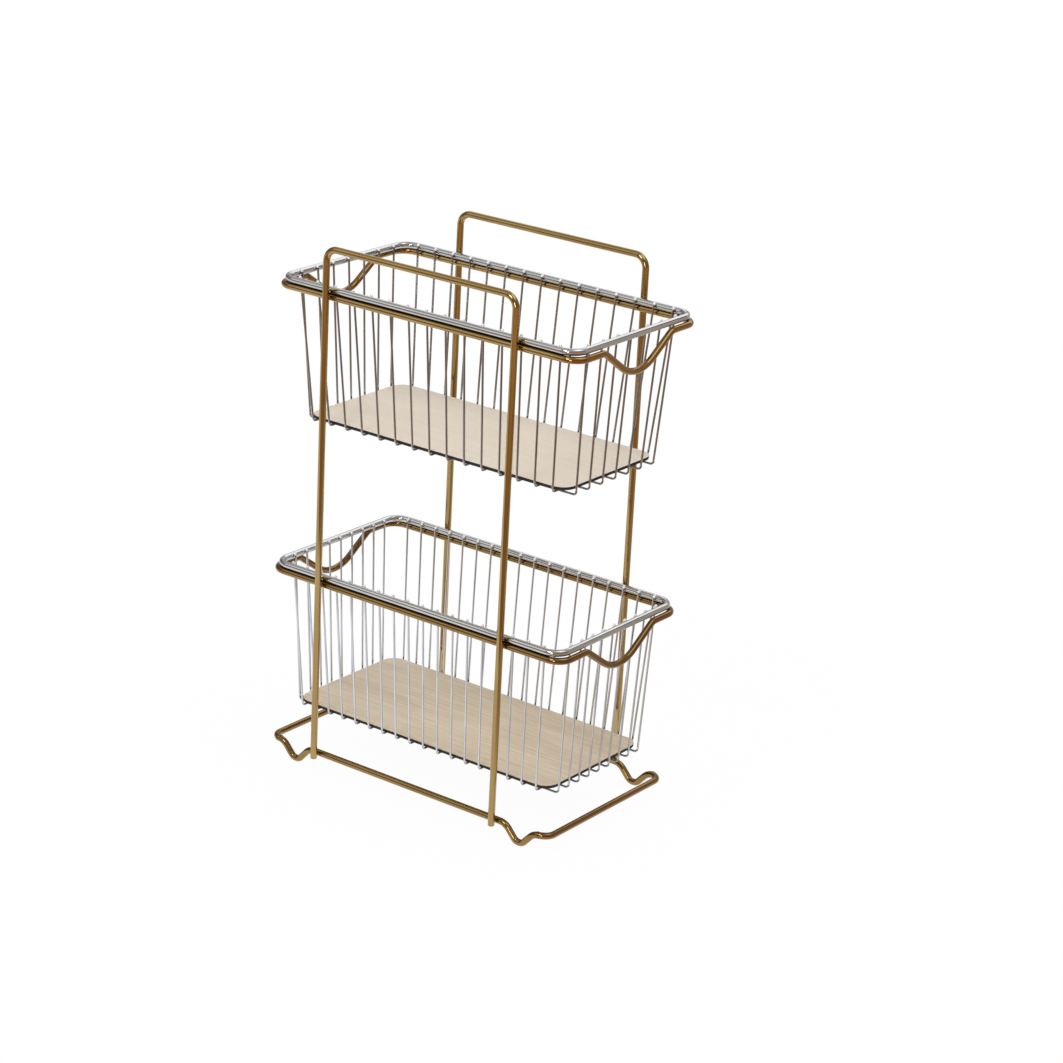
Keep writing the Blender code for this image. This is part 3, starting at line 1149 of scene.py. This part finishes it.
def white_floor(radius):
    """A white floor with a faint shadow. To the metal it turns brown in front and warm on the right."""
    deselect_all()
    bpy.ops.mesh.primitive_circle_add(vertices=96, radius=radius, fill_type="NGON")
    floor = bpy.context.object
    floor.name = "floor"
    material = bpy.data.materials.new("white floor")
    tree = ShaderTree(material)
    output = tree.nodes["Material Output"]
    coords = tree.node("ShaderNodeTexCoord", {}, {}, "Object")
    distance = tree.node("ShaderNodeVectorMath", {"operation": "LENGTH"}, {0: coords}, "Value")
    forward = tree.node(
        "ShaderNodeVectorMath", {"operation": "DOT_PRODUCT"}, {0: coords, 1: FRONT}, "Value"
    )
    right = tree.part(coords, 0)
    brown = tree.blend(tree.rise(forward, low=0.5, high=1.5), FRONT_BROWN, FAR_FRONT_BROWN)
    behind = tree.blend(tree.rise(distance, low=0.5, high=1.6), PAPER_NEAR, PAPER_FAR)
    beside = tree.blend(tree.rise(right, low=0.16, high=0.34), behind, PAPER_RIGHT)
    seen_by_metal = tree.blend(tree.rise(forward, low=0.41, high=0.51), beside, brown)
    paper = tree.node("ShaderNodeBsdfDiffuse", {}, {"Color": PAPER})
    white = tree.node("ShaderNodeEmission", {}, {"Color": WHITE})
    mirrored = tree.node("ShaderNodeEmission", {}, {"Color": seen_by_metal})
    away = tree.rise(distance, low=0.5, high=1.2)
    camera_share = tree.ray("Camera") * (PLAIN_WHITE + (1 - PLAIN_WHITE) * away)
    seen = tree.node("ShaderNodeMixShader", {}, {0: camera_share, 1: paper, 2: white})
    whole = tree.node("ShaderNodeMixShader", {}, {0: tree.ray("Glossy"), 1: seen, 2: mirrored})
    tree.links.new(whole.socket, output.inputs["Surface"])
    floor.data.materials.append(material)


def studio_room(studio):
    """World light: an even glow, a grey room for the metal to mirror, and white for the camera."""
    world = bpy.data.worlds.new("studio room")
    bpy.context.scene.world = world
    tree = ShaderTree(world)
    output = tree.nodes["World Output"]
    heading = tree.node("ShaderNodeTexCoord", {}, {}, "Generated")
    back = tree.part(heading, 1)
    height = tree.part(heading, 2)
    walls = tree.blend(tree.rise(back, low=0.35, high=0.65), FRONT_WALL, BACK_WALL)
    room = tree.blend(tree.rise(height, low=0.42, high=0.75), walls, CEILING)
    glow = tree.node("ShaderNodeBackground", {}, {"Color": WHITE, "Strength": studio.glow})
    mirrored = tree.node("ShaderNodeBackground", {}, {"Color": room})
    white = tree.node("ShaderNodeBackground", {}, {"Color": WHITE})
    lit = tree.node("ShaderNodeMixShader", {}, {0: tree.ray("Glossy"), 1: glow, 2: mirrored})
    seen = tree.node("ShaderNodeMixShader", {}, {0: tree.ray("Camera"), 1: lit, 2: white})
    tree.links.new(seen.socket, output.inputs["Surface"])


def softbox(name, place, aim, width, height, power):
    """A soft lamp at a place, turned to what it lights."""
    deselect_all()
    heading = Vector(aim) - Vector(place)
    bpy.ops.object.light_add(
        type="AREA", location=place, rotation=heading.to_track_quat("-Z", "Y").to_euler()
    )
    lamp = bpy.context.object
    lamp.name = name
    lamp.data.shape = "RECTANGLE"
    lamp.data.size = width
    lamp.data.size_y = height
    lamp.data.energy = power
    lamp.visible_camera = False


def dim_card(name, place, width, height, colour, standing):
    """A card that only the metal sees, standing across Y or lying flat."""
    deselect_all()
    tilt = math.pi / 2 if standing else 0
    bpy.ops.mesh.primitive_plane_add(size=1, location=place, rotation=(tilt, 0, 0))
    card = bpy.context.object
    card.name = name
    card.scale = (width, height, 1)
    bake_place(card)
    material = bpy.data.materials.new(name)
    tree = ShaderTree(material)
    colour_seen = tree.node("ShaderNodeEmission", {}, {"Color": colour})
    tree.links.new(colour_seen.socket, tree.nodes["Material Output"].inputs["Surface"])
    card.data.materials.append(material)
    card.visible_camera = False
    card.visible_diffuse = False
    card.visible_shadow = False


def set_camera(studio):
    """Puts the camera where the photograph was taken from."""
    turn = (
        Euler((0, 0, studio.azimuth)).to_matrix()
        @ Euler((math.pi / 2 - studio.pitch, 0, 0)).to_matrix()
        @ Euler((0, 0, studio.roll)).to_matrix()
    )
    deselect_all()
    bpy.ops.object.camera_add(location=studio.place, rotation=turn.to_euler())
    camera = bpy.context.object
    camera.name = "camera"
    camera.data.lens = studio.lens
    camera.data.sensor_width = studio.sensor
    bpy.context.scene.camera = camera


class RACK_OT_studio(bpy.types.Operator):
    """White floor, soft light and the camera"""

    bl_idname = "rack.studio"
    bl_label = "Studio"

    def execute(self, context):
        studio = context.scene.rack_studio
        white_floor(studio.floor_radius)
        for name, place, width, height, colour, standing in (
            ("warm_card", (1.05, 0.8, 0.65), 0.9, 1.3, WARM_CARD, True),
            ("back_dark_card", (0.68, 1.24, 1.35), 0.26, 0.8, DARK_CARD, True),
            ("top_dark_card", (-1.05, 0.50, 2.0), 1.7, 0.20, DARK_CARD, False),
        ):
            dim_card(name, place, width, height, colour, standing)
        studio_room(studio)
        for name, place, aim, width, height, power in (
            ("left softbox", (-1.40, -1.75, 1.65), MIDDLE, 1.3, 1.1, studio.left_power),
            ("back softbox", (-0.40, 1.25, 1.35), MIDDLE, 1.8, 0.75, studio.back_power),
            ("top softbox", (0.9, 0.2, 2.3), MIDDLE, 1.2, 1.2, studio.top_power),
            ("high glint lamp", (0.05, -1.40, 1.45), FEET, 0.45, 0.45, studio.high_glint_power),
            ("low glint lamp", (0.70, -1.90, 0.70), FEET, 0.30, 0.60, studio.low_glint_power),
        ):
            softbox(name, place, aim, width, height, power)
        set_camera(studio)
        context.scene.view_settings.view_transform = "Standard"
        return {"FINISHED"}


class RACK_PT_pieces(bpy.types.Panel):
    """The rack's pieces, in the order they are made"""

    bl_idname = "RACK_PT_pieces"
    bl_label = "Vegetable rack"
    bl_space_type = "VIEW_3D"
    bl_region_type = "UI"
    bl_category = "Rack"

    def draw(self, context):
        for operator in OPERATORS:
            self.layout.operator(operator.bl_idname)
        for name, group in PROPERTY_GROUPS.items():
            box = self.layout.box()
            for key in group.__annotations__:
                box.prop(getattr(context.scene, name), key)


OPERATORS = (
    RACK_OT_base_ring,
    RACK_OT_hoops,
    RACK_OT_basket_rings,
    RACK_OT_frame_welds,
    RACK_OT_rims,
    RACK_OT_cross_wires,
    RACK_OT_long_wires,
    RACK_OT_basket_welds,
    RACK_OT_boards,
    RACK_OT_studio,
)


def register():
    for group in PROPERTY_GROUPS.values():
        bpy.utils.register_class(group)
    for name, group in PROPERTY_GROUPS.items():
        setattr(bpy.types.Scene, name, PointerProperty(type=group))
    for operator in OPERATORS:
        bpy.utils.register_class(operator)
    bpy.utils.register_class(RACK_PT_pieces)


def unregister():
    bpy.utils.unregister_class(RACK_PT_pieces)
    for operator in OPERATORS:
        bpy.utils.unregister_class(operator)
    for name, group in PROPERTY_GROUPS.items():
        delattr(bpy.types.Scene, name)
        bpy.utils.unregister_class(group)


def main():
    register()
    for operator in OPERATORS:
        category, name = operator.bl_idname.split(".")
        getattr(getattr(bpy.ops, category), name)()


if __name__ == "__main__":
    main()
